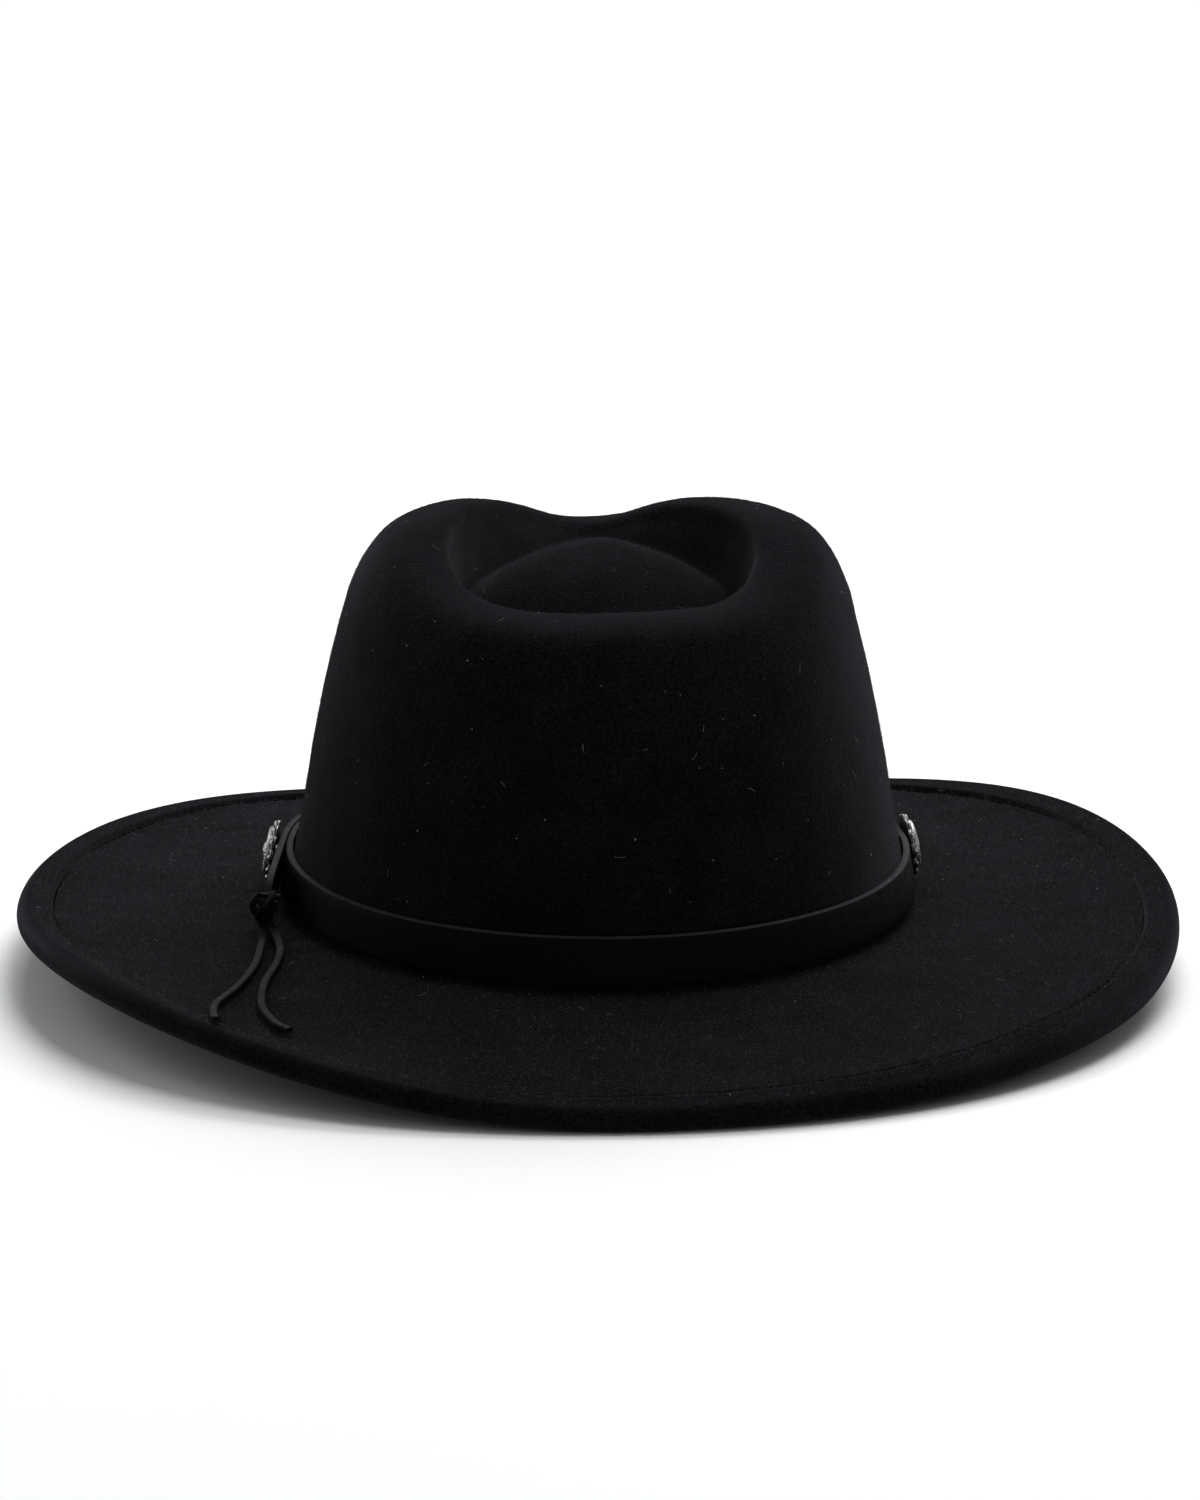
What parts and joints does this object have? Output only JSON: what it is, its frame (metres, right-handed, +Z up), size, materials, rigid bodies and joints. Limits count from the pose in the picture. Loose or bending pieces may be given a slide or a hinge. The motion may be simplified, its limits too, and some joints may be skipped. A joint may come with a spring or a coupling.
{
  "type": "cowboy hat",
  "caption": "Felt cowboy hat with a teardrop crease, a turned-under brim edge, a leather strap with round metal discs and a lace.",
  "frame": {"origin": "centre of the bounding box in plan, on the surface that the front and back of the brim rest on", "axes": "+X to the wearer's right, +Y to the front of the hat, +Z up"},
  "size_m": [0.3254, 0.3488, 0.1273],
  "materials": {
    "felt": "black wool felt, finely napped",
    "wire": "spring steel",
    "sweat_leather": "smooth black leather",
    "reed": "translucent plastic reed",
    "ribbon": "black grosgrain",
    "satin": "black satin",
    "strap_leather": "smooth matte black leather",
    "concho_metal": "antiqued silver-coloured metal",
    "post_metal": "plated steel",
    "lace_leather": "black leather lace"
  },
  "bodies": {
    "hat": {"felt_body": "felt", "brim_wire": "wire", "wire_sleeve": "wire", "sweatband": "sweat_leather", "sweatband_reed": "reed", "sweatband_bow": "ribbon", "crown_lining": "satin"},
    "band": {"hat_band": "strap_leather", "concho_post_left": "post_metal", "concho_post_right": "post_metal", "lace_knot": "lace_leather", "lace_tail_outer": "lace_leather", "lace_tail_inner": "lace_leather"},
    "left_disc": {"concho_left": "concho_metal"},
    "right_disc": {"concho_right": "concho_metal"}
  },
  "joints": [
    {"name": "band_lift", "type": "slide", "parent": "hat", "child": "band", "axis": [0, 0, 1], "range_m": [0, 0.13]},
    {"name": "left_disc_turn", "type": "hinge", "parent": "band", "child": "left_disc", "pos_m": [-0.08509, 0.00916, 0.02834], "axis": [-0.9823, 0.101, 0.1578], "continuous": true},
    {"name": "right_disc_turn", "type": "hinge", "parent": "band", "child": "right_disc", "pos_m": [0.08509, 0.00916, 0.02834], "axis": [0.9823, 0.101, 0.1578], "continuous": true}
  ]
}
